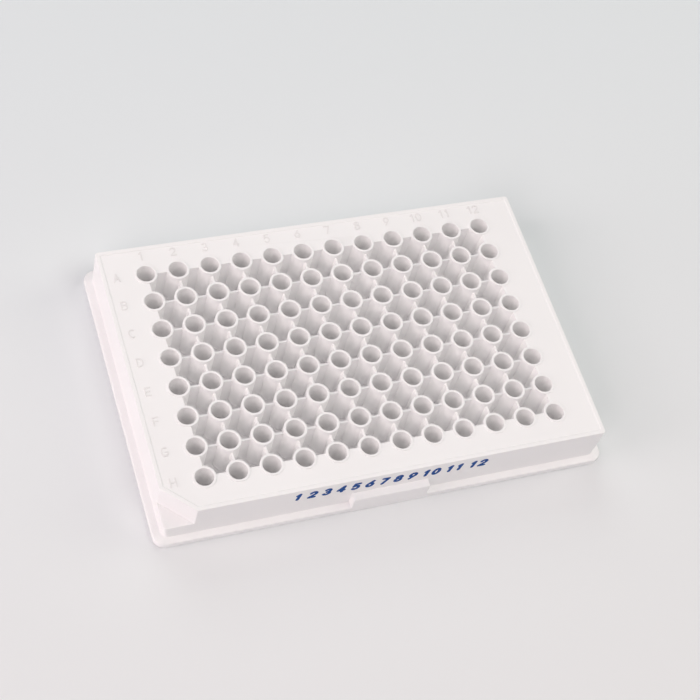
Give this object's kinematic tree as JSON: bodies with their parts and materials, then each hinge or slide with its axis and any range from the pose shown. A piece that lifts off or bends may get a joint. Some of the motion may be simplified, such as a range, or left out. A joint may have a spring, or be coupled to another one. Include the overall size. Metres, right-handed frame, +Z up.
{
  "type": "well plate",
  "caption": "Flat laboratory plate with a grid of small round wells joined by thin webs, deep pockets between them, a raised deck border and a flanged skirt with a cut corner.",
  "frame": {"origin": "centre of the underside, on the plane the plate rests on", "axes": "+X along the long side towards column 12, +Y along the short side towards row A, +Z up out of the well mouths"},
  "size_m": [0.1278, 0.0854, 0.0143],
  "materials": {
    "plate": "opaque white moulded polystyrene, satin",
    "ink": "blue printed ink on the front wall, flat"
  },
  "bodies": {
    "root": {"plate": "plate"}
  },
  "joints": []
}
